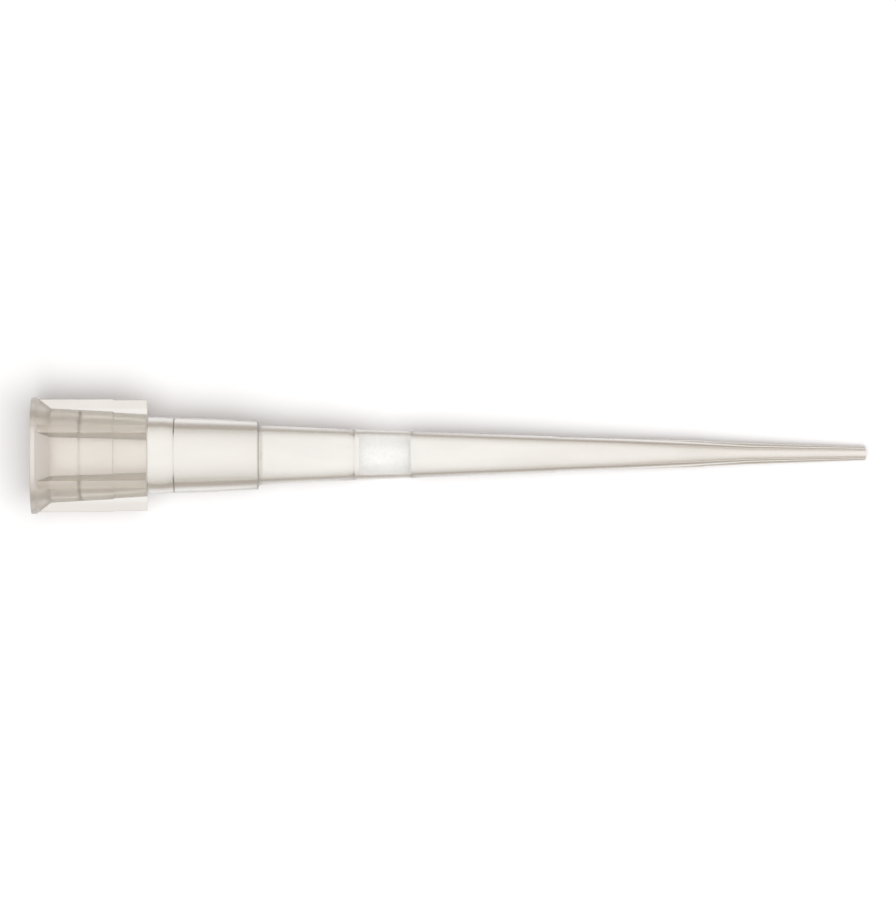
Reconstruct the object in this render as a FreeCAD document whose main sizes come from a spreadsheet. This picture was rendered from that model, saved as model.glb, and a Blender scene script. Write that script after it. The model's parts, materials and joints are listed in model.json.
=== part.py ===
import FreeCAD, Part
import os
import Sketcher

# A long filter pipette tip, lying on a bench as it comes to rest.
#
# Two pieces: the tip body, one injection moulding in natural polypropylene, and the porous filter plug
# pressed into its bore. Both are drawn about the X axis, with the mouth's plane at X = 0 and the orifice
# at X = tip_length. "Station" means a distance along that axis from the mouth. A placement then leans
# the axis until the rim and the narrow end both touch the bench.

doc = FreeCAD.newDocument("filter_pipette_tip")

# ---------------------------------------------------------------- sizes, in millimetres
SIZES = [
    ("tip_length", 46.17, "mouth to orifice"),
    # rim, flange and hub
    ("rim_radius", 3.23, "outside of the rim"),
    ("rim_land", 0.27, "width of the rim's outer band"),
    ("rim_edge", 0.04, "rounding of the rim's two edges"),
    ("flange_run", 0.84, "axial run of the cone behind the rim"),
    ("hub_radius", 2.59, "outside of the hub behind the flange"),
    ("witness_step", 0.05, "radial step where two mould inserts meet"),
    ("lower_hub_length", 1.9, "hub from the witness line to its end"),
    ("collar_step", 0.11, "hub's end face over the shank"),
    # fins
    ("fin_count", 6, "fins around the hub"),
    ("fin_thickness", 0.5, "fin thickness"),
    ("fin_inset", 0.115, "fins' outer edge inside the rim"),
    ("fin_setback", 0.04, "fins' end before the hub's end"),
    # socket for the pipette's nozzle
    ("mouth_chamfer", 0.08, "lead-in at the mouth"),
    ("socket_radius", 2.04, "bore at the mouth"),
    ("socket_depth", 2.58, "mouth to the shoulder"),
    ("shoulder_run", 0.2, "axial run of the shoulder"),
    ("shoulder_step", 0.15, "radial step of the shoulder"),
    ("land_radius", 1.85, "sealing land that grips the nozzle"),
    ("land_length", 1.77, "length of the sealing land"),
    ("lower_land_step", 0.02, "radial step below the sealing land"),
    ("lower_land_run", 0.02, "axial run of that step"),
    ("lower_land_length", 0.98, "lower land"),
    ("lower_land_draft", 0.02, "taper of the lower land over its length"),
    ("throat_run", 0.9, "cone from the lower land to the throat"),
    ("throat_step", 0.19, "radial drop from the lower land to the throat"),
    # upper shank
    ("shank_radius", 2.14, "outside, behind the hub"),
    ("upper_shank_length", 3.48, "hub's end to the change of taper"),
    ("shank_mid_radius", 2.037, "outside, at the change of taper"),
    ("middle_shank_length", 2.66, "change of taper to the step"),
    ("funnel_setback", 0.86, "hub's end to the funnel"),
    ("funnel_run", 0.53, "axial run of the funnel"),
    ("funnel_drop", 0.075, "radial drop of the funnel"),
    ("funnel_ledge_run", 0.07, "axial run of the ledge below the funnel"),
    ("funnel_ledge", 0.04, "radial step of that ledge"),
    ("shank_ledge_run", 0.06, "axial run of the ledge under the shank's step"),
    ("shank_ledge", 0.02, "radial step of that ledge"),
    ("shank_bore_radius", 1.375, "bore at the shank's step"),
    ("shank_wall", 0.525, "wall just before the shank's step"),
    ("shank_step", 0.24, "outside step between the shanks"),
    ("step_round", 0.115, "rounding of that step's two corners"),
    # lower shank and the filter's seat
    ("lower_shank_length", 4.97, "step to the retaining bead"),
    ("barrel_wall", 0.25, "wall at the retaining bead"),
    ("bead_height", 0.04, "retaining bead's height"),
    ("bead_flank", 0.14, "axial run of each of the bead's flanks"),
    ("bead_crest", 0.07, "axial width of the bead's crest"),
    ("plug_gap", 0.22, "bead to the filter"),
    ("plug_length", 2.86, "length of the filter"),
    ("plug_edge", 0.09, "rounding of the filter's edges"),
    ("seat_radius", 1.172, "bore at the filter's mouth side"),
    ("lead_in_draft", 0.008, "bore at the bead, over the seat"),
    ("seat_draft", 0.057, "taper of the seat over the filter's length"),
    ("stop_step", 0.06, "ledge that stops the filter"),
    ("stop_run", 0.21, "axial run of that ledge"),
    # barrel
    ("barrel_upper_length", 5.64, "bead to the change of taper"),
    ("barrel_mid_wall", 0.235, "wall at the change of taper"),
    ("barrel_lower_length", 5.83, "change of taper to the barrel's end"),
    ("barrel_end_wall", 0.25, "wall at the barrel's end"),
    ("barrel_step", 0.043, "outside step at the barrel's end"),
    # tail and needle
    ("bore_break_setback", 3.57, "barrel's end to the bore's change of taper"),
    ("bore_break_radius", 0.629, "bore at its change of taper"),
    ("tail_length", 8.22, "barrel's end to the needle"),
    ("tail_wall", 0.32, "wall at the tail's end"),
    ("tail_step", 0.033, "outside step at the needle"),
    ("needle_root_length", 2.55, "the needle's steeper first part"),
    ("needle_bore_radius", 0.295, "bore at the end of the needle's root"),
    ("needle_wall", 0.29, "wall at the end of the needle's root"),
    ("orifice_radius", 0.198, "bore at the orifice"),
    ("end_wall", 0.172, "wall at the orifice"),
]

sizes = doc.addObject("Spreadsheet::Sheet", "Sizes")
for row, (name, value, meaning) in enumerate(SIZES, start=1):
    sizes.set(f"A{row}", name)
    sizes.set(f"B{row}", str(value))
    sizes.setAlias(f"B{row}", name)
    sizes.set(f"C{row}", meaning)
doc.recompute()


# ---------------------------------------------------------------- values worked out from the sizes
def value_set(name, formulas, kind="App::PropertyFloat"):
    """A variable set whose values follow formulas; a formula may name earlier values of the set."""
    values = doc.addObject("App::VarSet", name)
    for value_name, formula in formulas:
        values.addProperty(kind, value_name, "Worked out")
        values.setExpression(value_name, formula)
        doc.recompute()


value_set("Stations", [
    ("flange_end", "Sizes.rim_land + Sizes.flange_run"),
    ("shoulder_end", "Sizes.socket_depth + Sizes.shoulder_run"),
    ("witness", "shoulder_end + Sizes.land_length"),
    ("lower_land_start", "witness + Sizes.lower_land_run"),
    ("throat_start", "lower_land_start + Sizes.lower_land_length"),
    ("throat_end", "throat_start + Sizes.throat_run"),
    ("hub_end", "witness + Sizes.lower_hub_length"),
    ("fin_end", "hub_end - Sizes.fin_setback"),
    ("funnel_start", "hub_end + Sizes.funnel_setback"),
    ("funnel_end", "funnel_start + Sizes.funnel_run"),
    ("shank_mid", "hub_end + Sizes.upper_shank_length"),
    ("shank_end", "shank_mid + Sizes.middle_shank_length"),
    ("bead_start", "shank_end + Sizes.lower_shank_length"),
    ("bead_end", "bead_start + 2 * Sizes.bead_flank + Sizes.bead_crest"),
    ("plug_start", "bead_end + Sizes.plug_gap"),
    ("plug_end", "plug_start + Sizes.plug_length"),
    ("stop_end", "plug_end + Sizes.stop_run"),
    ("barrel_mid", "bead_start + Sizes.barrel_upper_length"),
    ("barrel_end", "barrel_mid + Sizes.barrel_lower_length"),
    ("bore_break", "barrel_end + Sizes.bore_break_setback"),
    ("tail_end", "barrel_end + Sizes.tail_length"),
    ("needle_start", "tail_end + Sizes.needle_root_length"),
])

value_set("BoreRadii", [
    ("mouth", "Sizes.socket_radius + Sizes.mouth_chamfer"),
    ("socket_end", "Sizes.land_radius + Sizes.shoulder_step"),
    ("lower_land", "Sizes.land_radius - Sizes.lower_land_step"),
    ("lower_land_end", "lower_land - Sizes.lower_land_draft"),
    ("throat", "lower_land_end - Sizes.throat_step"),
    ("funnel_end", "throat - Sizes.funnel_drop"),
    ("bead", "Sizes.seat_radius + Sizes.lead_in_draft"),
    ("bead_crest", "bead - Sizes.bead_height"),
    ("seat_end", "Sizes.seat_radius - Sizes.seat_draft"),
    ("stop", "seat_end - Sizes.stop_step"),
    ("barrel_slope", "(stop - Sizes.bore_break_radius) / (Stations.bore_break - Stations.stop_end)"),
    ("barrel_mid", "stop - barrel_slope * (Stations.barrel_mid - Stations.stop_end)"),
    ("barrel_end", "stop - barrel_slope * (Stations.barrel_end - Stations.stop_end)"),
    ("tail_slope",
     "(Sizes.bore_break_radius - Sizes.needle_bore_radius) / (Stations.needle_start - Stations.bore_break)"),
    ("tail_end", "Sizes.bore_break_radius - tail_slope * (Stations.tail_end - Stations.bore_break)"),
])

value_set("OuterRadii", [
    ("hub_end", "Sizes.shank_radius + Sizes.collar_step"),
    ("hub_slope",
     "(Sizes.hub_radius - hub_end - Sizes.witness_step) / (Stations.hub_end - Stations.flange_end)"),
    ("witness", "Sizes.hub_radius - hub_slope * (Stations.witness - Stations.flange_end)"),
    ("fin", "Sizes.rim_radius - Sizes.fin_inset"),
    ("shank_end", "Sizes.shank_bore_radius + Sizes.shank_wall"),
    ("step_end", "shank_end - Sizes.shank_step"),
    ("bead", "BoreRadii.bead + Sizes.barrel_wall"),
    ("barrel_mid", "BoreRadii.barrel_mid + Sizes.barrel_mid_wall"),
    ("barrel_end", "BoreRadii.barrel_end + Sizes.barrel_end_wall"),
    ("tail_end", "BoreRadii.tail_end + Sizes.tail_wall"),
    ("needle_start", "Sizes.needle_bore_radius + Sizes.needle_wall"),
    ("orifice", "Sizes.orifice_radius + Sizes.end_wall"),
])

value_set("Rest", [
    ("lean", "atan((Sizes.rim_radius - OuterRadii.orifice) / (Sizes.tip_length - Sizes.rim_land))"),
], kind="App::PropertyAngle")


# ---------------------------------------------------------------- drawing helpers
def new_body(label):
    body = doc.addObject("PartDesign::Body", label)
    body.Label = label
    return body


def origin_feature(body, role):
    return next(feature for feature in body.Origin.OriginFeatures if feature.Role == role)


def sketch_on(body, role, name):
    sketch = body.newObject("Sketcher::SketchObject", name)
    sketch.AttachmentSupport = [(origin_feature(body, role), "")]
    sketch.MapMode = "FlatFace"
    doc.recompute()
    return sketch


def tie(sketch, direction, line, formula):
    """Hold the start of a line at a formula's distance from the sketch's origin."""
    on_axis = {"DistanceX": -2, "DistanceY": -1}[direction]
    if formula == "0":
        sketch.addConstraint(Sketcher.Constraint("PointOnObject", line, 1, on_axis))
        return
    distance = float(sketch.evalExpression(formula))
    index = sketch.addConstraint(Sketcher.Constraint(direction, -1, 1, line, 1, distance))
    sketch.setExpression(f"Constraints[{index}]", formula)


def draw_outline(sketch, corners):
    """A closed outline of straight lines. Each corner is two formulas: station, and height off the axis."""
    points = [FreeCAD.Vector(float(sketch.evalExpression(station)), float(sketch.evalExpression(radius)), 0)
              for station, radius in corners]
    count = len(points)
    for line in range(count):
        sketch.addGeometry(Part.LineSegment(points[line], points[(line + 1) % count]), False)
    for line in range(count):
        sketch.addConstraint(Sketcher.Constraint("Coincident", line, 2, (line + 1) % count, 1))
    for line, (station, radius) in enumerate(corners):
        tie(sketch, "DistanceX", line, station)
        tie(sketch, "DistanceY", line, radius)
    doc.recompute()


def revolve(body, name, sketch):
    turned = body.newObject("PartDesign::Revolution", name)
    turned.Profile = sketch
    turned.ReferenceAxis = (sketch, ["H_Axis"])
    turned.Angle = 360
    doc.recompute()
    return turned


def circle_edges(feature, wanted):
    """Names of the feature's full-circle edges for which wanted(centre, radius) holds."""
    names = []
    for number, edge in enumerate(feature.Shape.Edges, start=1):
        curve = edge.Curve
        if isinstance(curve, Part.Circle) and wanted(curve.Center, curve.Radius):
            names.append(f"Edge{number}")
    return names


def same(first, second, tolerance=1e-4):
    return abs(first - second) < tolerance


# ---------------------------------------------------------------- tip body: rim to orifice, one moulding
tip_body = new_body("tip_body")

OUTSIDE = [
    ("0", "Sizes.rim_radius"),
    ("Sizes.rim_land", "Sizes.rim_radius"),
    ("Stations.flange_end", "Sizes.hub_radius"),
    ("Stations.witness", "OuterRadii.witness"),
    ("Stations.witness", "OuterRadii.witness - Sizes.witness_step"),
    ("Stations.hub_end", "OuterRadii.hub_end"),
    ("Stations.hub_end", "Sizes.shank_radius"),
    ("Stations.shank_mid", "Sizes.shank_mid_radius"),
    ("Stations.shank_end", "OuterRadii.shank_end"),
    ("Stations.shank_end", "OuterRadii.step_end"),
    ("Stations.bead_start", "OuterRadii.bead"),
    ("Stations.barrel_mid", "OuterRadii.barrel_mid"),
    ("Stations.barrel_end", "OuterRadii.barrel_end"),
    ("Stations.barrel_end", "OuterRadii.barrel_end - Sizes.barrel_step"),
    ("Stations.tail_end", "OuterRadii.tail_end"),
    ("Stations.tail_end", "OuterRadii.tail_end - Sizes.tail_step"),
    ("Stations.needle_start", "OuterRadii.needle_start"),
    ("Sizes.tip_length", "OuterRadii.orifice"),
]
BORE = [
    ("0", "BoreRadii.mouth"),
    ("Sizes.mouth_chamfer", "Sizes.socket_radius"),
    ("Sizes.socket_depth", "BoreRadii.socket_end"),
    ("Stations.shoulder_end", "Sizes.land_radius"),
    ("Stations.witness", "Sizes.land_radius"),
    ("Stations.lower_land_start", "BoreRadii.lower_land"),
    ("Stations.throat_start", "BoreRadii.lower_land_end"),
    ("Stations.throat_end", "BoreRadii.throat"),
    ("Stations.funnel_start", "BoreRadii.throat"),
    ("Stations.funnel_end", "BoreRadii.funnel_end"),
    ("Stations.funnel_end + Sizes.funnel_ledge_run", "BoreRadii.funnel_end - Sizes.funnel_ledge"),
    ("Stations.shank_end", "Sizes.shank_bore_radius"),
    ("Stations.shank_end + Sizes.shank_ledge_run", "Sizes.shank_bore_radius - Sizes.shank_ledge"),
    ("Stations.bead_start", "BoreRadii.bead"),
    ("Stations.bead_start + Sizes.bead_flank", "BoreRadii.bead_crest"),
    ("Stations.bead_end - Sizes.bead_flank", "BoreRadii.bead_crest"),
    ("Stations.bead_end", "BoreRadii.bead"),
    ("Stations.plug_start", "Sizes.seat_radius"),
    ("Stations.plug_end", "BoreRadii.seat_end"),
    ("Stations.stop_end", "BoreRadii.stop"),
    ("Stations.bore_break", "Sizes.bore_break_radius"),
    ("Stations.needle_start", "Sizes.needle_bore_radius"),
    ("Sizes.tip_length", "Sizes.orifice_radius"),
]

wall_sketch = sketch_on(tip_body, "XZ_Plane", "wall_outline")
draw_outline(wall_sketch, OUTSIDE + BORE[::-1])
wall = revolve(tip_body, "wall", wall_sketch)

# The shank's step is an S-shaped shoulder: its outer corner and its inner corner have the same rounding.
outer_radii = doc.getObject("OuterRadii")
step_edges = tip_body.newObject("PartDesign::Fillet", "step_edges")
step_edges.Base = (wall, circle_edges(
    wall, lambda centre, radius: same(radius, outer_radii.shank_end) or same(radius, outer_radii.step_end)))
step_edges.setExpression("Radius", "Sizes.step_round")
tip_body.Tip = step_edges
doc.recompute()

# One fin stands level, out of each side of the axis, so that the tip rests between two of the others.
# Its root runs down the middle of the hub's wall, and its front end is inside the flange.
fin_sketch = sketch_on(tip_body, "XY_Plane", "fin_outline")
draw_outline(fin_sketch, [
    ("Sizes.rim_land", "(Sizes.hub_radius + Sizes.socket_radius) / 2"),
    ("Sizes.rim_land", "OuterRadii.fin"),
    ("Stations.witness", "OuterRadii.fin"),
    ("Stations.witness", "OuterRadii.fin - Sizes.witness_step"),
    ("Stations.fin_end", "OuterRadii.fin - Sizes.witness_step"),
    ("Stations.fin_end", "(OuterRadii.hub_end + BoreRadii.throat) / 2"),
])
fin = tip_body.newObject("PartDesign::Pad", "fin")
fin.Profile = fin_sketch
fin.SideType = "Symmetric"
fin.setExpression("Length", "Sizes.fin_thickness")
doc.recompute()

fins = tip_body.newObject("PartDesign::PolarPattern", "fins")
fins.Originals = [fin]
fins.Axis = (origin_feature(tip_body, "X_Axis"), [""])
fins.Angle = 360
fins.setExpression("Occurrences", "Sizes.fin_count")
tip_body.Tip = fins
doc.recompute()

rim_edges = tip_body.newObject("PartDesign::Fillet", "rim_edges")
rim_edges.Base = (fins, circle_edges(fins, lambda centre, radius: same(radius, sizes.rim_radius)))
rim_edges.setExpression("Radius", "Sizes.rim_edge")
tip_body.Tip = rim_edges
doc.recompute()

# ---------------------------------------------------------------- filter plug: fills its seat in the bore
filter_plug = new_body("filter_plug")

plug_sketch = sketch_on(filter_plug, "XZ_Plane", "plug_outline")
draw_outline(plug_sketch, [
    ("Stations.plug_start", "0"),
    ("Stations.plug_start", "Sizes.seat_radius"),
    ("Stations.plug_end", "BoreRadii.seat_end"),
    ("Stations.plug_end", "0"),
])
plug_core = revolve(filter_plug, "plug_core", plug_sketch)

plug_edges = filter_plug.newObject("PartDesign::Fillet", "plug_edges")
plug_edges.Base = (plug_core, circle_edges(plug_core, lambda centre, radius: True))
plug_edges.setExpression("Radius", "Sizes.plug_edge")
filter_plug.Tip = plug_edges
doc.recompute()

# ---------------------------------------------------------------- placement on the bench
# The origin is under the middle of the length that the leaning tip covers, on the bench.
RIM_OVER_END = "(Sizes.rim_radius - OuterRadii.orifice)"
HALF_REACH = f"(Sizes.tip_length * cos(Rest.lean) - {RIM_OVER_END} * sin(Rest.lean)) / 2"
LIFT = "Sizes.rim_radius * cos(Rest.lean) + Sizes.rim_land * sin(Rest.lean)"
for body in (tip_body, filter_plug):
    body.Placement = FreeCAD.Placement(FreeCAD.Vector(0, 0, 0), FreeCAD.Rotation(FreeCAD.Vector(0, 1, 0), 1))
    body.setExpression("Placement.Rotation.Angle", "Rest.lean")
    body.setExpression("Placement.Base.x", f"-{HALF_REACH}")
    body.setExpression("Placement.Base.z", LIFT)
doc.recompute()

# ---------------------------------------------------------------- checks and files
SUB_PARTS = [tip_body, filter_plug]

for item in doc.Objects:
    if any(word in state for state in item.State for word in ("Invalid", "Error")):
        raise RuntimeError(f"{item.Label} failed: {item.State}")
for body in SUB_PARTS:
    if body.Shape.isNull() or not body.Shape.isValid() or len(body.Shape.Solids) != 1:
        raise RuntimeError(f"{body.Label} is not one valid solid")
if fins.Shape.Volume <= step_edges.Shape.Volume:
    raise RuntimeError("the fins add nothing to the hub")

os.makedirs("parts", exist_ok=True)
for body in SUB_PARTS:
    body.Shape.exportStep(f"parts/{body.Label}.step")
    box = body.Shape.optimalBoundingBox(True, True)
    print(f"{body.Label}: volume {body.Shape.Volume:.3f} mm3, x {box.XMin:.3f} to {box.XMax:.3f}, "
          f"y {box.YMin:.3f} to {box.YMax:.3f}, z {box.ZMin:.3f} to {box.ZMax:.3f}")
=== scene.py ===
# %% [markdown]
# # A filter pipette tip, lying on a white bench
#
# The real object is two pieces. The tip body is one thin-walled moulding in natural, uncoloured
# polypropylene: clear enough to see through, with a faint warm cast. The filter plug is a short rod of
# white, porous polyethylene, pressed into the bore. This lesson builds both as meshes, gives each its
# material, and sets up a plain light studio to look at them in.
#
# The first cell loads the measured frame that the pieces have to fit.

# %% Load the frame
import json
from math import atan2, cos, degrees, pi, radians, sin

import bmesh
import bpy
from mathutils import Matrix, Vector

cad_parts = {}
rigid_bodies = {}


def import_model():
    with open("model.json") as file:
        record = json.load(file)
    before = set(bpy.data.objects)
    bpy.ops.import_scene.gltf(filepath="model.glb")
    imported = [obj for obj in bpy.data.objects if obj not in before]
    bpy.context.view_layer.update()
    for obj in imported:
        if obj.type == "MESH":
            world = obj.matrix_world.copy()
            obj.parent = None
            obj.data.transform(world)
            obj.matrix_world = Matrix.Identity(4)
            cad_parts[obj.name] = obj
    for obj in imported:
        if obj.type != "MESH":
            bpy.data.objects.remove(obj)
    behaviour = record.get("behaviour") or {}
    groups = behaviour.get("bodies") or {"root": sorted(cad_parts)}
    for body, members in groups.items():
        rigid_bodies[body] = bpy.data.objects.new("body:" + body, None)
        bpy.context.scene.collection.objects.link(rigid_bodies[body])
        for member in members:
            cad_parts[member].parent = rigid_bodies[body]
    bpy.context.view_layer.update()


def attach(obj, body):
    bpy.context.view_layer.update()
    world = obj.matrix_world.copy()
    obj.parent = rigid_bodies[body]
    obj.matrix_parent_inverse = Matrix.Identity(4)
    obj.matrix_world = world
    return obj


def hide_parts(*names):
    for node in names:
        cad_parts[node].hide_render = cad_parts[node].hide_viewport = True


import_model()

# %% [markdown]
# ## Working space
#
# A moulding that is turned about one axis is easiest to draw lying along X: a "station" is a distance from
# the mouth along that axis, and the other number of a corner is the radius there. The finished tip lies on
# the bench on its rim and its narrow end, so its axis leans by a small angle. One matrix takes a piece from
# the drawing to the bench. It is applied to the mesh, so that each finished object stays at the origin.

# %% From the drawing to the bench
MM = 0.001
TIP_LENGTH = 46.17
RIM_RADIUS = 3.23
RIM_LAND = 0.27
ORIFICE_OUTSIDE = 0.37

lean = atan2(RIM_RADIUS - ORIFICE_OUTSIDE, TIP_LENGTH - RIM_LAND)
reach = TIP_LENGTH * cos(lean) - (RIM_RADIUS - ORIFICE_OUTSIDE) * sin(lean)
lift = RIM_RADIUS * cos(lean) + RIM_LAND * sin(lean)
to_bench = Matrix.Translation((-reach / 2 * MM, 0, lift * MM)) @ Matrix.Rotation(lean, 4, "Y")
print(f"the axis leans {degrees(lean):.2f} degrees, the mouth's centre is {lift:.2f} mm up")

# %% [markdown]
# ## Helpers for turned pieces
#
# A turned piece starts as a line of corners, one for each change of radius. Blender's spin operator carries
# that line round the axis and makes the surface. Few real corners are perfectly sharp, so a vertex bevel
# rounds the drawn corners first, while there are only a handful of them. Sizes and distances are given in
# millimetres, and MM turns them into Blender's metres.

# %% Draw, round and spin an outline
TURNS = 256
MERGE_DISTANCE = 1e-4
SLIVER = 1e-5


def draw_outline(bm, corners, closed):
    """A line of edges through (station, radius) corners, in millimetres."""
    verts = [bm.verts.new((station * MM, 0, radius * MM)) for station, radius in corners]
    for pair in zip(verts, verts[1:]):
        bm.edges.new(pair)
    if closed:
        bm.edges.new((verts[-1], verts[0]))
    return verts


def corners_between(verts, start, end):
    """The drawn corners from one station to another."""
    slack = 0.01
    return [v for v in verts if (start - slack) * MM < v.co.x < (end + slack) * MM]


def round_corners(bm, verts, radius, segments=3):
    """Rounds drawn corners with a small arc."""
    bmesh.ops.bevel(bm, geom=verts, offset=radius * MM, segments=segments, profile=0.5,
                    affect="VERTICES", offset_type="OFFSET", material=-1)


def spin_round(bm):
    """Spins the whole drawing once round the X axis and closes the seam."""
    bmesh.ops.spin(bm, geom=bm.verts[:] + bm.edges[:], cent=(0, 0, 0), axis=(1, 0, 0),
                   dvec=(0, 0, 0), angle=2 * pi, steps=TURNS, use_merge=True, use_duplicate=False)
    bmesh.ops.remove_doubles(bm, verts=bm.verts[:], dist=MERGE_DISTANCE * MM)
    bmesh.ops.dissolve_degenerate(bm, edges=bm.edges[:], dist=SLIVER * MM)
    bmesh.ops.recalc_face_normals(bm, faces=bm.faces[:])


def shade(mesh, sharp_angle):
    """Smooth shading, except at edges that turn by more than the angle."""
    mesh.shade_smooth()
    mesh.set_sharp_from_angle(angle=sharp_angle)


def lay_on_bench(bm, name, sharp_angle):
    """Takes a drawing to the bench and makes it an object."""
    bm.transform(to_bench)
    mesh = bpy.data.meshes.new(name)
    bm.to_mesh(mesh)
    bm.free()
    shade(mesh, sharp_angle)
    piece = bpy.data.objects.new(name, mesh)
    bpy.context.scene.collection.objects.link(piece)
    return piece


# %% [markdown]
# ## The tip body's wall
#
# The outside tapers in stages: a rim and a flange, the hub with a fine witness line where two parts of the
# mould meet, a real step halfway down the shank, and the long narrow barrel. The bore has its own stages:
# the socket for the nozzle, the sealing lands, a throat, a bead that keeps the filter in, and the filter's
# seat. Places that several corners share get a name first, so that a change in one of them moves them all.
#
# A clear wall shows every inner ledge as a line. So the ledges are drawn with a short slope, which gives the
# soft grey line of moulded plastic instead of a hard black one. Only the rim's edge, the step and the
# nozzle's shoulder are rounded.

# %% Places along the wall
FLANGE_END = 1.11
SHOULDER = 2.58
SHOULDER_RUN = 0.20
WITNESS = 4.55
WITNESS_RUN = 0.01
HUB_END = 6.45
HUB_END_SLOPE = 0.04
FUNNEL_END = 7.84
SHANK_STEP = 12.59
BEAD = 17.56
PLUG_START = 18.13
PLUG_END = 20.99
BARREL_END = 29.03
TAIL_END = 37.25
NEEDLE = 39.80

# %% Radii that several corners share
HUB_RADIUS = 2.59
WITNESS_RADIUS = 2.406
WITNESS_STEP = 0.05
LAND_RADIUS = 1.85
THROAT_RADIUS = 1.62
BEAD_FOOT = 1.18
BEAD_TOP = 1.14
SEAT_START = 1.172
SEAT_END = 1.115

# %% The two outlines of the wall
OUTSIDE = [
    (0, RIM_RADIUS), (RIM_LAND, RIM_RADIUS), (FLANGE_END, HUB_RADIUS),
    (WITNESS, WITNESS_RADIUS), (WITNESS + WITNESS_RUN, WITNESS_RADIUS - WITNESS_STEP),
    (HUB_END - HUB_END_SLOPE / 2, 2.25), (HUB_END + HUB_END_SLOPE / 2, 2.14),
    (9.93, 2.037), (SHANK_STEP, 1.90), (SHANK_STEP, 1.66),
    (BEAD, 1.43), (23.20, 1.211), (BARREL_END, 1.012), (BARREL_END, 0.969),
    (TAIL_END, 0.733), (TAIL_END, 0.70), (NEEDLE, 0.585), (TIP_LENGTH, ORIFICE_OUTSIDE),
]
BORE = [
    (0, 2.05), (SHOULDER, 2.0), (SHOULDER + SHOULDER_RUN, LAND_RADIUS), (WITNESS, LAND_RADIUS),
    (WITNESS + 0.02, 1.83), (5.55, 1.81), (HUB_END, THROAT_RADIUS),
    (7.31, THROAT_RADIUS), (FUNNEL_END, 1.545), (FUNNEL_END + 0.07, 1.505),
    (SHANK_STEP, 1.375), (SHANK_STEP + 0.06, 1.355),
    (BEAD, BEAD_FOOT), (BEAD + 0.14, BEAD_TOP), (BEAD + 0.21, BEAD_TOP), (BEAD + 0.35, BEAD_FOOT),
    (PLUG_START, SEAT_START), (PLUG_END, SEAT_END), (PLUG_END + 0.21, 1.055),
    (32.60, 0.629), (NEEDLE, 0.295), (TIP_LENGTH, 0.198),
]
print(len(OUTSIDE), "corners outside,", len(BORE), "in the bore")

# %% Spin the wall
RIM_ROUNDING = 0.015
STEP_ROUNDING = 0.115
SHOULDER_ROUNDING = 0.05

wall = bmesh.new()
outside_corners = draw_outline(wall, OUTSIDE + BORE[::-1], closed=True)[:len(OUTSIDE)]
step_corners = corners_between(outside_corners, SHANK_STEP, SHANK_STEP)
shoulder_corners = corners_between(wall.verts, SHOULDER, SHOULDER + SHOULDER_RUN)
rim_corners = outside_corners[:2]
print("rounded corners:", len(step_corners), "at the step,", len(shoulder_corners), "at the shoulder")
round_corners(wall, rim_corners, RIM_ROUNDING)
round_corners(wall, step_corners, STEP_ROUNDING, segments=8)
round_corners(wall, shoulder_corners, SHOULDER_ROUNDING)
spin_round(wall)
print("wall:", len(wall.faces), "faces")

# %% [markdown]
# ## The fins
#
# Six thin fins stiffen the hub and guide the tip in its rack. A fin is a flat plate. The mould is nearly
# sharp at its foot and at its outer edge, so both get only a tiny rounding, enough to catch a fine line of
# light. The plate is drawn once across, filled, and extruded along the hub in three runs: the upper hub, the
# fine step at the witness line, and the lower hub. The feet follow the hub's taper, and the outer edge keeps
# its own height but for that step. Extruding a face that already ends a run leaves the old face inside the
# plate, so it is deleted, and the fin stays one closed skin. A spin that duplicates makes the other five.

# %% Draw a fin across
FIN_COUNT = 6
FIN_THICKNESS = 0.50
FIN_OUTSIDE = 3.115
FIN_END = HUB_END - 0.04
FIN_FOOT = 0.02
FIN_EDGE = 0.02
FOOT_MARGIN = 0.05
FOOT_ABOVE = 0.01
FOOT_BELOW = 0.02
FOOT_DEPTH = 0.25
HUB_TAPER = (HUB_RADIUS - WITNESS_RADIUS) / (WITNESS - FLANGE_END)
HUB_AT_FIN = HUB_RADIUS + HUB_TAPER * (FLANGE_END - RIM_LAND)


def draw_fin_across(bm):
    """A plate that stands on the hub, with feet that reach into the hub's wall."""
    half = FIN_THICKNESS / 2
    foot = half + FIN_FOOT + FOOT_MARGIN
    hub_at_half, hub_at_foot = [(HUB_AT_FIN ** 2 - across ** 2) ** 0.5 for across in (half, foot)]
    right = [(half, FIN_OUTSIDE), (half, hub_at_half + FOOT_ABOVE), (foot, hub_at_foot - FOOT_BELOW),
             (foot, HUB_AT_FIN - FOOT_DEPTH)]
    left = [(-across, height) for across, height in right[::-1]]
    verts = [bm.verts.new((RIM_LAND * MM, across * MM, height * MM)) for across, height in right + left]
    for first, second in zip(verts, verts[1:] + verts[:1]):
        bm.edges.new((first, second))
    outer_edges = [verts[0], verts[-1]]
    feet = [verts[1], verts[-2]]
    round_corners(bm, feet, FIN_FOOT, segments=6)
    round_corners(bm, outer_edges, FIN_EDGE, segments=2)
    return bmesh.ops.edgeloop_fill(bm, edges=bm.edges[:])["faces"][0]


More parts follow.
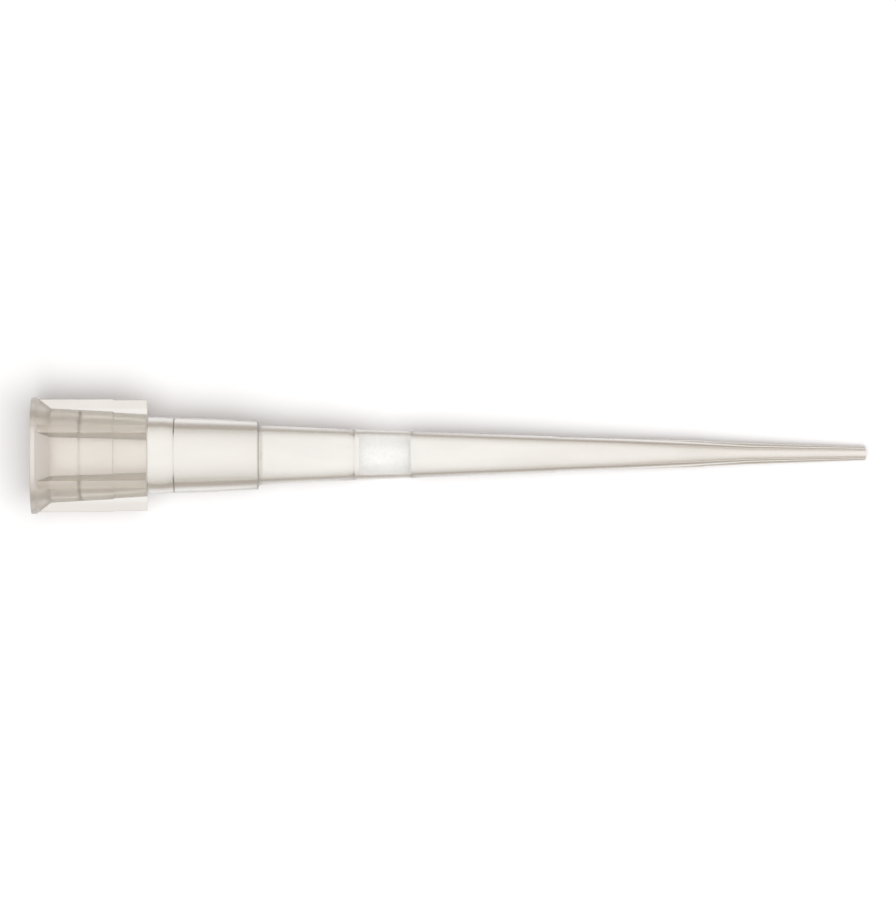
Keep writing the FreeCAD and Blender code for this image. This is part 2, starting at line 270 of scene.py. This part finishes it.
def run_on(bm, end, run, hub_change, top_change):
    """Extrudes a fin's end face along the hub, and moves its feet and its outer edge in or out."""
    moved = bmesh.ops.extrude_face_region(bm, geom=[end])["geom"]
    now_inside = any(len(edge.link_faces) > 2 for edge in end.edges)
    if now_inside:
        bmesh.ops.delete(bm, geom=[end], context="FACES_ONLY")
    verts = [item for item in moved if isinstance(item, bmesh.types.BMVert)]
    highest = max(v.co.z for v in verts)
    top = [v for v in verts if v.co.z > highest - 2 * FIN_EDGE * MM]
    bmesh.ops.translate(bm, vec=(run * MM, 0, hub_change * MM), verts=verts)
    bmesh.ops.translate(bm, vec=(0, 0, (top_change - hub_change) * MM), verts=top)
    return next(item for item in moved if isinstance(item, bmesh.types.BMFace))


# %% Run the fin along the hub and copy it round
fins = bmesh.new()
end = draw_fin_across(fins)
upper_run = WITNESS - RIM_LAND
lower_run = FIN_END - WITNESS - WITNESS_RUN
end = run_on(fins, end, upper_run, -HUB_TAPER * upper_run, 0)
end = run_on(fins, end, WITNESS_RUN, -WITNESS_STEP, -WITNESS_STEP)
end = run_on(fins, end, lower_run, -HUB_TAPER * lower_run, 0)
bmesh.ops.recalc_face_normals(fins, faces=fins.faces[:])
bmesh.ops.rotate(fins, cent=(0, 0, 0), matrix=Matrix.Rotation(pi / 2, 3, "X"), verts=fins.verts[:])
copies = FIN_COUNT - 1
bmesh.ops.spin(fins, geom=fins.verts[:] + fins.edges[:] + fins.faces[:], cent=(0, 0, 0),
               axis=(1, 0, 0), dvec=(0, 0, 0), angle=2 * pi * copies / FIN_COUNT,
               steps=copies, use_merge=False, use_duplicate=True)
print("fins:", len(fins.faces), "faces")

# %% [markdown]
# ## One skin
#
# A glass-like material only looks right on one clean skin, so the fins are joined to the wall with a Boolean
# union instead of being left to overlap it. The union leaves a few very short edges where they meet. Those
# would shade as specks, so they are dissolved, and a count of open edges shows that the skin is closed.
# Smooth shading also bends the look of a large flat face beside a tiny rounded one. The Weighted Normal
# modifier lets the large face decide, so that it looks flat.

# %% Join the fins to the wall
SHARP = radians(14)
SHORT_EDGE = 5e-4
tip_body_piece = lay_on_bench(wall, "tip_moulding", SHARP)
fin_set = lay_on_bench(fins, "fin_set", SHARP)

union = tip_body_piece.modifiers.new("join the fins", "BOOLEAN")
union.operation = "UNION"
union.solver = "EXACT"
union.object = fin_set
bpy.context.view_layer.update()
seen = tip_body_piece.evaluated_get(bpy.context.evaluated_depsgraph_get())
joined = bpy.data.meshes.new_from_object(seen)
tip_body_piece.modifiers.clear()
tip_body_piece.data = joined
bpy.data.objects.remove(fin_set)

# %% Clean the skin and shade it
clean = bmesh.new()
clean.from_mesh(joined)
bmesh.ops.dissolve_degenerate(clean, edges=clean.edges[:], dist=SHORT_EDGE * MM)
open_edges = sum(not edge.is_manifold for edge in clean.edges)
clean.to_mesh(joined)
clean.free()
shade(joined, SHARP)
flat_faces = tip_body_piece.modifiers.new("flat faces stay flat", "WEIGHTED_NORMAL")
flat_faces.keep_sharp = True
print("tip moulding:", len(joined.polygons), "faces,", open_edges, "open edges")

# %% [markdown]
# ## The filter plug
#
# The plug is sintered from fine beads of polyethylene, so it is matt white and faintly grainy. It grips
# the bore, but plastic never wets plastic: a hair of air is left between the two, and that is what makes
# the plug look slightly narrower than the bore through the wall. Half an outline is enough, because spin
# closes the ends at the axis.

# %% Turn the plug
AIR = 0.015
PLUG_EDGE = 0.09
PLUG_SHARP = radians(35)
PLUG_OUTLINE = [
    (PLUG_START + AIR, 0), (PLUG_START + AIR, SEAT_START - AIR),
    (PLUG_END - AIR, SEAT_END - AIR), (PLUG_END - AIR, 0),
]

plug = bmesh.new()
plug_corners = draw_outline(plug, PLUG_OUTLINE, closed=False)
round_corners(plug, plug_corners[1:3], PLUG_EDGE)
spin_round(plug)
print("filter plug:", len(plug.faces), "faces")
plug_piece = lay_on_bench(plug, "porous_filter", PLUG_SHARP)

# %% [markdown]
# ## Helpers for node trees
#
# Materials, node groups and the world are all trees of nodes. Short helpers keep the code that builds them
# readable: one adds any node and fills or links its sockets, and the others add the few kinds that come up
# again and again, for sums, for soft steps between two places and for mixed colours. The patterns are
# placed with Object coordinates. A Mapping node takes them back from the bench to the drawing, so that X is
# the station again and a finish can start or stop at a known place along the tip.

# %% Add nodes
WHITE = (1, 1, 1, 1)


def add_node(tree, kind, inputs, **settings):
    """Adds a node. inputs gives a number, a colour or another node's socket for each of its sockets."""
    node = tree.nodes.new(kind)
    for name, value in settings.items():
        setattr(node, name, value)
    for socket, value in inputs.items():
        if isinstance(value, bpy.types.NodeSocket):
            tree.links.new(value, node.inputs[socket])
        else:
            node.inputs[socket].default_value = value
    return node


def add_math(tree, operation, *values):
    """A Math node's result."""
    return add_node(tree, "ShaderNodeMath", dict(enumerate(values)), operation=operation).outputs[0]


def add_range(tree, value, start, end, low=0.0, high=1.0, kind="SMOOTHSTEP"):
    """A soft step from low to high, while the value goes from start to end."""
    limits = {"Value": value, "From Min": start, "From Max": end, "To Min": low, "To Max": high}
    return add_node(tree, "ShaderNodeMapRange", limits, interpolation_type=kind).outputs[0]


def add_zone(tree, value, start, end, low=0.0, high=1.0):
    """A soft step between two places in millimetres."""
    return add_range(tree, value, start * MM, end * MM, low, high)


# A colour Mix node has hidden sockets for its other data types, so its colour sockets are found by place.
MIX_A, MIX_B, MIX_RESULT = 6, 7, 2


def add_mix(tree, factor, first, second, blend="MIX"):
    """Mixes two colours."""
    mix = add_node(tree, "ShaderNodeMix", {}, data_type="RGBA", blend_type=blend)
    for place, value in ((0, factor), (MIX_A, first), (MIX_B, second)):
        if isinstance(value, bpy.types.NodeSocket):
            tree.links.new(value, mix.inputs[place])
        else:
            mix.inputs[place].default_value = value
    return mix.outputs[MIX_RESULT]


def add_multiplied(tree, first, second):
    """Multiplies two colours, or a colour by a number."""
    return add_mix(tree, 1.0, first, second, "MULTIPLY")


# %% Place patterns along the tip
def drawing_place(tree):
    """Object coordinates, turned back into the drawing's."""
    back = to_bench.inverted()
    coordinates = add_node(tree, "ShaderNodeTexCoord", {})
    turned = {"Vector": coordinates.outputs["Object"], "Location": back.to_translation(),
              "Rotation": back.to_euler()}
    return add_node(tree, "ShaderNodeMapping", turned).outputs[0]


def new_material(name):
    """An empty node material."""
    material = bpy.data.materials.new(name)
    material.use_nodes = True
    material.node_tree.nodes.clear()
    return material, material.node_tree


# %% [markdown]
# ## Grain, for both plastics
#
# Neither plastic is perfectly even. The moulding has faint clouds in its tone and the fine texture of the
# mould's steel, and the filter has the grain of its beads. Both are noise at two scales, so one node group
# makes them, and each material gives it its own scales: Tone multiplies a colour, and Relief feeds a Bump.

# %% Grain group
CLOUD_CONTRAST = (0.3, 0.7)


def grain_group():
    """Cloudy tone and fine relief, from two noises."""
    group = bpy.data.node_groups.new("grain", "ShaderNodeTree")
    for name, kind in (("Place", "Vector"), ("Cloud scale", "Float"), ("Cloud depth", "Float"),
                       ("Relief scale", "Float")):
        group.interface.new_socket(name, in_out="INPUT", socket_type="NodeSocket" + kind)
    for name in ("Tone", "Relief"):
        group.interface.new_socket(name, in_out="OUTPUT", socket_type="NodeSocketFloat")
    given = group.nodes.new("NodeGroupInput").outputs
    clouds = add_node(group, "ShaderNodeTexNoise",
                      {"Vector": given["Place"], "Scale": given["Cloud scale"], "Detail": 3})
    shade_of_cloud = add_range(group, clouds.outputs["Fac"], *CLOUD_CONTRAST)
    tone = add_math(group, "SUBTRACT", 1, add_math(group, "MULTIPLY", shade_of_cloud, given["Cloud depth"]))
    relief = add_node(group, "ShaderNodeTexNoise",
                      {"Vector": given["Place"], "Scale": given["Relief scale"], "Detail": 2})
    result = group.nodes.new("NodeGroupOutput")
    group.links.new(tone, result.inputs["Tone"])
    group.links.new(relief.outputs["Fac"], result.inputs["Relief"])
    return group


grain = grain_group()
print("grain group:", len(grain.nodes), "nodes")


def add_grain(tree, place, scales):
    """The grain group, with a material's own scales."""
    return add_node(tree, "ShaderNodeGroup", {"Place": place, **scales}, node_tree=grain).outputs


# %% [markdown]
# ## Natural polypropylene
#
# Thin polypropylene passes nearly all the light, so the base is a Principled shader with full transmission
# and the plastic's index of 1.49. Three things make it plastic instead of glass: a warm tint at each
# surface, some roughness, and a trace of glow that stands for the milky scatter inside the wall. The hub
# is moulded against etched steel and the shank against polished steel, so a mask along the station mixes
# two finishes. Where the hub turns away from the eye, Layer Weight mixes in a darker tint: painted shade
# along its edges.
#
# More masks mark zones along the tip: the fins, the flange, the upper shank and the long tail. Each zone
# has a tint of its own, which multiplies the first. The flange's tint is painted shade, for the shadow
# beside the mouth that shows through the flange. The grain is stretched along the tip, because that is the
# way the plastic flowed into the mould.

# %% Tints and finish of the polypropylene
PLASTIC_INDEX = 1.49
CLEAR_TINT = (0.940, 0.930, 0.913, 1)
MATT_TINT = (0.930, 0.904, 0.872, 1)
# painted shade: a darker tint along the hub's edges, where it turns away from the eye
EDGE_SHADE_TINT = (0.83, 0.785, 0.728, 1)
FIN_TINT = (0.92, 0.908, 0.896, 1)
# painted shade: the flange's tint stands in for the shadow beside the mouth, seen through the flange
FLANGE_SHADE_TINT = (0.98, 0.95, 0.92, 1)
SHANK_TINT = (0.986, 0.984, 0.980, 1)
TAIL_TINT = (0.966, 0.954, 0.945, 1)
MILKY_GLOW = (1.0, 0.90, 0.78, 1)
MILKY_GLOW_LEVEL = 0.02
CLEAR_ROUGHNESS = 0.13
MATT_ROUGHNESS = 0.28
MOULD_GRAIN = {"Cloud scale": 900, "Cloud depth": 0.04, "Relief scale": 2500}
STRETCH_ALONG_TIP = (0.25, 1, 1)
MOULD_RELIEF = 15e-6
POLISHED_RELIEF_SHARE = 0.03

# %% Where the zones are
MASK_EDGE = 0.04
FIN_RADII = (2.50, 2.66)
SHANK_END = (SHANK_STEP, SHANK_STEP + 0.20)
TAIL = (22, 37.5)
MOUTH_FACE = (0.05, 0.30)
TURNED_AWAY = (0.08, 0.75)
FLANGE_SLOPE = (RIM_RADIUS - HUB_RADIUS) / (FLANGE_END - RIM_LAND)
CONE_TOP = RIM_RADIUS + FLANGE_SLOPE * RIM_LAND


def radius_from_axis(tree, split):
    """How far a point is from the tip's axis."""
    across = add_math(tree, "POWER", split["Y"], 2)
    up = add_math(tree, "POWER", split["Z"], 2)
    return add_math(tree, "SQRT", add_math(tree, "ADD", across, up))


def flange_zone(tree, station, radius):
    """The cone behind the rim, without the fins that stand on it."""
    after_rim = add_zone(tree, station, RIM_LAND, RIM_LAND + MASK_EDGE)
    before_hub = add_zone(tree, station, FLANGE_END - MASK_EDGE, FLANGE_END, 1, 0)
    above_cone = add_math(tree, "ADD", radius, add_math(tree, "MULTIPLY", station, FLANGE_SLOPE))
    on_cone = add_zone(tree, above_cone, CONE_TOP + MASK_EDGE / 2, CONE_TOP + MASK_EDGE * 1.5, 1, 0)
    return add_math(tree, "MULTIPLY", add_math(tree, "MULTIPLY", after_rim, before_hub), on_cone)


def tinted_zones(tree, split, matt):
    """Each zone's mask, with its tint."""
    station = split["X"]
    radius = radius_from_axis(tree, split)
    on_fins = add_math(tree, "MULTIPLY", matt, add_zone(tree, radius, *FIN_RADII))
    polished = add_math(tree, "SUBTRACT", 1, matt)
    on_shank = add_math(tree, "MULTIPLY", polished, add_zone(tree, station, *SHANK_END, 1, 0))
    # the flange's tint is painted shade
    return ((on_fins, FIN_TINT), (flange_zone(tree, station, radius), FLANGE_SHADE_TINT),
            (on_shank, SHANK_TINT), (add_zone(tree, station, *TAIL), TAIL_TINT))


# %% Natural polypropylene
def painted_edge_shade(tree, station, matt):
    """Painted shade: a darker tint where the matt hub turns away from the eye, but not on the mouth's flat
    face.
    """
    facing = add_node(tree, "ShaderNodeLayerWeight", {"Blend": 0.5}).outputs["Facing"]
    turned = add_math(tree, "MULTIPLY", matt, add_range(tree, facing, *TURNED_AWAY))
    return add_math(tree, "MULTIPLY", turned, add_zone(tree, station, *MOUTH_FACE))


def natural_polypropylene():
    """The moulding's clear plastic, matt on the hub and polished beyond it."""
    material, tree = new_material("natural polypropylene")
    place = drawing_place(tree)
    split = add_node(tree, "ShaderNodeSeparateXYZ", {0: place}).outputs
    station = split["X"]
    matt = add_zone(tree, station, HUB_END - MASK_EDGE / 2, HUB_END + MASK_EDGE / 2, 1, 0)
    flow = add_node(tree, "ShaderNodeVectorMath", {0: place, 1: STRETCH_ALONG_TIP}, operation="MULTIPLY")
    texture = add_grain(tree, flow.outputs[0], MOULD_GRAIN)

    tint = add_multiplied(tree, add_mix(tree, matt, CLEAR_TINT, MATT_TINT), texture["Tone"])
    for zone, zone_tint in tinted_zones(tree, split, matt):
        tint = add_multiplied(tree, tint, add_mix(tree, zone, WHITE, zone_tint))
    relief_share = add_range(tree, matt, 0, 1, POLISHED_RELIEF_SHARE, 1, "LINEAR")
    relief = add_math(tree, "MULTIPLY", texture["Relief"], relief_share)
    bump = add_node(tree, "ShaderNodeBump", {"Height": relief, "Distance": MOULD_RELIEF})

    shader = add_node(tree, "ShaderNodeBsdfPrincipled", {
        # painted shade: the edge tint darkens the hub where it turns away from the eye
        "Base Color": add_mix(tree, painted_edge_shade(tree, station, matt), tint, EDGE_SHADE_TINT),
        "Roughness": add_range(tree, matt, 0, 1, CLEAR_ROUGHNESS, MATT_ROUGHNESS, "LINEAR"),
        "Normal": bump.outputs[0],
        "IOR": PLASTIC_INDEX,
        "Transmission Weight": 1.0,
        "Emission Color": MILKY_GLOW,
        "Emission Strength": MILKY_GLOW_LEVEL,
    })
    add_node(tree, "ShaderNodeOutputMaterial", {"Surface": shader.outputs[0]})
    return material


tip_body_piece.data.materials.append(natural_polypropylene())
print("on the tip body:", tip_body_piece.data.materials[0].name)

# %% [markdown]
# ## Porous polyethylene
#
# The filter's beads are about an eighth of a millimetre across. A Voronoi texture gives one rounded cell to
# each bead, for the relief and for painted shade in the gaps between them, and the grain group adds the
# slow change of tone. The surface is matt, so the roughness is high. Light goes into such a mass of beads
# and comes out somewhere else, so the material scatters light under its skin. The reach is longer than the
# plug, which keeps its white nearly even from edge to edge.

# %% Porous polyethylene
PLUG_WHITE = (0.950, 0.962, 0.984, 1)
PLUG_ROUGHNESS = 0.75
SCATTER_REACH = 0.006
BEADS_PER_METRE = 8000
BEAD_GRAIN = {"Cloud scale": 1500, "Cloud depth": 0.03, "Relief scale": 20000}
BEAD_RELIEF = 12e-6
PORE_EDGE = (0.35, 0.75)
# painted shade: the gaps between the beads are darkened by this much
PORE_SHADE = 0.94


def porous_polyethylene():
    """The filter's sintered white beads."""
    material, tree = new_material("porous polyethylene")
    place = drawing_place(tree)
    texture = add_grain(tree, place, BEAD_GRAIN)
    beads = add_node(tree, "ShaderNodeTexVoronoi", {"Vector": place, "Scale": BEADS_PER_METRE}).outputs
    # painted shade in the gaps between the beads
    pore_shade = add_range(tree, beads["Distance"], *PORE_EDGE, 1, PORE_SHADE)
    tone = add_math(tree, "MULTIPLY", pore_shade, texture["Tone"])
    mound = add_math(tree, "SUBTRACT", texture["Relief"], beads["Distance"])
    bump = add_node(tree, "ShaderNodeBump", {"Height": mound, "Distance": BEAD_RELIEF})
    shader = add_node(tree, "ShaderNodeBsdfPrincipled", {
        "Base Color": add_multiplied(tree, PLUG_WHITE, tone),
        "Roughness": PLUG_ROUGHNESS,
        "Normal": bump.outputs[0],
        "Subsurface Weight": 1.0,
        "Subsurface Radius": (1, 1, 1),
        "Subsurface Scale": SCATTER_REACH,
    })
    add_node(tree, "ShaderNodeOutputMaterial", {"Surface": shader.outputs[0]})
    return material


plug_piece.data.materials.append(porous_polyethylene())
print("on the plug:", plug_piece.data.materials[0].name)

# %% [markdown]
# ## Tie the pieces to the frame
#
# Nothing on this object moves, so both pieces ride on the one body. Each stands for the CAD solid of the
# same piece, which is hidden.

# %% Ride and replace
for piece, node, finish in ((tip_body_piece, "tip_body", "natural_polypropylene"),
                            (plug_piece, "filter_plug", "porous_polyethylene")):
    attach(piece, "root")
    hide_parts(node)
    print(piece.name, "stands for", node)

# %% [markdown]
# ## The bench
#
# The bench is a large flat sheet in plain white. It has to catch the object's shadow, and still be as white
# as paper where nothing shades it. So it is a diffuse sheet, lit by the lamps, plus a small glow that only
# the camera and reflections see. Rays that have passed through the clear plastic go straight through the
# bench and look at the world's lower half instead, because a path tracer can't carry the lamps' light
# through a rough clear wall without a great deal of noise.

# %% Bench
BENCH_HALF = 2.0
BENCH_WHITE = (0.8, 0.8, 0.8, 1)
BENCH_GLOW = (0.195, 0.177, 0.170, 1)

bench_mesh = bpy.data.meshes.new("bench")
bench_draft = bmesh.new()
bmesh.ops.create_grid(bench_draft, x_segments=1, y_segments=1, size=BENCH_HALF)
bench_draft.to_mesh(bench_mesh)
bench_draft.free()
bench = bpy.data.objects.new("bench", bench_mesh)
bpy.context.scene.collection.objects.link(bench)
print("bench:", 2 * BENCH_HALF, "m square")


# %% The bench's material
def add_switch(tree, flag, otherwise, shown):
    """Shows one shader where the flag is 1, and another elsewhere."""
    return add_node(tree, "ShaderNodeMixShader",
                    {0: flag, 1: otherwise.outputs[0], 2: shown.outputs[0]})


def white_bench():
    """Diffuse white with a glow for the camera, and open to rays that come through the plastic."""
    material, tree = new_material("white bench")
    path = add_node(tree, "ShaderNodeLightPath", {}).outputs
    sheet = add_node(tree, "ShaderNodeBsdfDiffuse", {"Color": BENCH_WHITE})
    glow = add_node(tree, "ShaderNodeEmission", {"Color": BENCH_GLOW, "Strength": 1})
    bright = add_node(tree, "ShaderNodeAddShader", {0: sheet.outputs[0], 1: glow.outputs[0]})
    looked_at = add_math(tree, "MAXIMUM", path["Is Camera Ray"], path["Is Glossy Ray"])
    surface = add_switch(tree, looked_at, sheet, bright)
    surface = add_switch(tree, path["Is Transmission Ray"], surface,
                         add_node(tree, "ShaderNodeBsdfTransparent", {}))
    add_node(tree, "ShaderNodeOutputMaterial", {"Surface": surface.outputs[0]})
    return material


bench_mesh.materials.append(white_bench())

# %% [markdown]
# ## The world
#
# A clear object has no look of its own: it shows what is around it, bent and displaced. What the plastic
# shows here is the world. Above it is an even white. Below it is the white table, and round that, where a
# curved wall bends the view outwards, an oval ring of grey card with a warm white wall behind it. The card
# draws the dark lines along the edges of the bore, as a dark card beside a bottle does. The table is also a
# little darker towards the mouth. The camera sees plain white, and the lamps do most of the lighting, so the
# world adds only a little fill to the bench.
#
# How far a view runs sideways for each step down is called its slope here. The ring is longer along the tip
# than across it, so a view's slope along the tip counts for less.

# %% Colours and levels of the world
TABLE_WHITE = (1.0, 1.0, 1.0, 1)
WALL_WHITE = (1.0, 0.97, 0.90, 1)
CARD_GREY = (0.38, 0.34, 0.29, 1)
ABOVE_LEVEL = 1.15
TOWARDS_MOUTH_LEVEL = 0.85
AFTER_BOUNCE = 0.1
FILL = 0.05
MIRRORED = 0.9

# %% Slopes at which the cards start and end
CARD_STARTS = (0.08, 0.75)
CARD_ENDS = (1.75, 2.75)
WALL_STARTS = (1.0, 1.75)
ALONG_WEIGHT = 0.75
MOUTH_SHADE_STARTS = (0.15, 0.5)
MOUTH_SHADE_ENDS = (1.5, 3.0)
LEAST_DEPTH = 0.01

# %% A new world
world = bpy.data.worlds.new("studio")
bpy.context.scene.world = world
world.use_nodes = True
world.cycles.sampling_method = "NONE"
sky = world.node_tree
sky.nodes.clear()


# %% What lies under the plastic
def slope_of_view(tree, split, depth):
    """How far a view runs sideways for each step down."""
    across = add_math(tree, "POWER", split["Y"], 2)
    along = add_math(tree, "POWER", add_math(tree, "MULTIPLY", split["X"], ALONG_WEIGHT), 2)
    return add_math(tree, "DIVIDE", add_math(tree, "SQRT", add_math(tree, "ADD", across, along)), depth)


def grey_cards(tree, split, slope):
    """1 where a downward view meets a card."""
    started = add_range(tree, slope, *CARD_STARTS, kind="LINEAR")
    not_ended = add_range(tree, slope, *CARD_ENDS, 1, 0)
    below = add_math(tree, "LESS_THAN", split["Z"], 0.0)
    return add_math(tree, "MULTIPLY", add_math(tree, "MULTIPLY", started, not_ended), below)


def shade_towards_mouth(tree, split, depth):
    """1 on the part of the table that lies towards the mouth, which is a little darker."""
    slope = add_math(tree, "DIVIDE", add_math(tree, "MULTIPLY", split["X"], -1), depth)
    started = add_range(tree, slope, *MOUTH_SHADE_STARTS)
    return add_math(tree, "MULTIPLY", started, add_range(tree, slope, *MOUTH_SHADE_ENDS, 1, 0))


def table_under_glass(tree, path):
    """What rays that have passed through the plastic see."""
    direction = add_node(tree, "ShaderNodeTexCoord", {}).outputs["Generated"]
    split = add_node(tree, "ShaderNodeSeparateXYZ", {0: direction}).outputs
    depth = add_math(tree, "MAXIMUM", add_math(tree, "MULTIPLY", split["Z"], -1), LEAST_DEPTH)
    slope = slope_of_view(tree, split, depth)
    past_cards = add_mix(tree, add_range(tree, slope, *WALL_STARTS), TABLE_WHITE, WALL_WHITE)
    colour = add_mix(tree, grey_cards(tree, split, slope), past_cards, CARD_GREY)
    bounced = add_math(tree, "MINIMUM", path["Diffuse Depth"], 1)
    shaded = shade_towards_mouth(tree, split, depth)
    level = add_range(tree, split["Z"], 0.0, 0.1, 1.0, ABOVE_LEVEL)
    for mask, masked_level in ((shaded, TOWARDS_MOUTH_LEVEL), (bounced, AFTER_BOUNCE)):
        level = add_math(tree, "MULTIPLY", level, add_range(tree, mask, 0, 1, 1, masked_level, "LINEAR"))
    return add_node(tree, "ShaderNodeBackground", {"Color": colour, "Strength": level})


# %% Show each kind of ray its own surroundings
def even_white(tree, level):
    """A plain white background."""
    return add_node(tree, "ShaderNodeBackground", {"Color": WHITE, "Strength": level})


path = add_node(sky, "ShaderNodeLightPath", {}).outputs
studio = add_switch(sky, path["Is Glossy Ray"], even_white(sky, FILL), even_white(sky, MIRRORED))
studio = add_switch(sky, path["Is Transmission Ray"], studio, table_under_glass(sky, path))
studio = add_switch(sky, path["Is Camera Ray"], studio, even_white(sky, 1))
add_node(sky, "ShaderNodeOutputWorld", {"Surface": studio.outputs[0]})
print("world:", len(sky.nodes), "nodes")

# %% [markdown]
# ## The lamps
#
# One large softbox hangs above the bench, a little in front of the object and towards its narrow end, so
# that a soft shadow falls behind it and past its mouth. A path tracer stops a lamp's direct light at a clear
# wall, and the white filter behind that wall would turn grey. Two more softboxes give the filter the light
# that the real wall lets through: one from above, and a wide one from below, for the light that comes back
# up from the bench. Light linking keeps both of them off everything else.

# %% Softboxes
KEY_PLACE, KEY_SIDE, KEY_POWER = (0.11, -0.12, 0.78), 0.78, 8.8
FILTER_PLACE, FILTER_SIDE, FILTER_POWER = (-0.02, -0.05, 0.74), 0.80, 10.4
BOUNCE_PLACE, BOUNCE_SIDE, BOUNCE_POWER = (-0.02, 0.0, -0.50), 1.60, 28.0


def softbox(name, place, side, power):
    """A square lamp that faces the object."""
    lamp_data = bpy.data.lights.new(name, "AREA")
    lamp_data.shape = "SQUARE"
    lamp_data.size = side
    lamp_data.energy = power
    lamp = bpy.data.objects.new(name, lamp_data)
    lamp.location = place
    lamp.rotation_mode = "QUATERNION"
    lamp.rotation_quaternion = lamp.location.to_track_quat("Z", "Y")
    lamp.visible_glossy = False
    lamp.visible_transmission = False
    bpy.context.scene.collection.objects.link(lamp)
    return lamp


key = softbox("key softbox", KEY_PLACE, KEY_SIDE, KEY_POWER)
through_wall = softbox("softbox for the filter", FILTER_PLACE, FILTER_SIDE, FILTER_POWER)
from_bench = softbox("bounce for the filter", BOUNCE_PLACE, BOUNCE_SIDE, BOUNCE_POWER)
only_filter = bpy.data.collections.new("lit through the wall")
only_filter.objects.link(plug_piece)
for lamp in (through_wall, from_bench):
    lamp.light_linking.receiver_collection = only_filter
    lamp.light_linking.blocker_collection = only_filter
print("lamps:", key.name, "+", through_wall.name, "+", from_bench.name)

# %% [markdown]
# ## The camera
#
# The object is seen from almost straight above, from more than half a metre away, which keeps its long
# outline free of perspective. The aim is a point on the tip's axis. The camera tilts a little towards the
# near side and rolls by a fraction of a degree. The view is slightly taller than it is wide, so the sensor
# is fitted to its height, and the lens follows from the height that it has to cover.

# %% Camera
CAMERA_DISTANCE = 0.571
FIELD_HEIGHT = 0.049831
AIM_STATION = 23.06
AIM_ABOVE = 0.25
SIDE_TILT = radians(1.45)
ROLL = radians(0.147)

target = to_bench @ Vector((AIM_STATION * MM, AIM_ABOVE * MM, 0))
camera_data = bpy.data.cameras.new("camera")
camera = bpy.data.objects.new("camera", camera_data)
camera_data.lens = camera_data.sensor_width * CAMERA_DISTANCE / FIELD_HEIGHT
camera_data.clip_end = 20
square_on = Matrix.Rotation(lean, 4, "Y") @ Matrix.Rotation(-SIDE_TILT, 4, "X")
tilted = square_on @ Matrix.Rotation(-ROLL, 4, "Z")
camera.location = target + tilted @ Vector((0, 0, CAMERA_DISTANCE))
camera.rotation_mode = "QUATERNION"
camera.rotation_quaternion = tilted.to_quaternion()
bpy.context.scene.collection.objects.link(camera)
bpy.context.scene.camera = camera
bpy.context.scene.view_settings.view_transform = "Standard"
print(f"lens {camera_data.lens:.0f} mm, {CAMERA_DISTANCE * 1000:.0f} mm away")
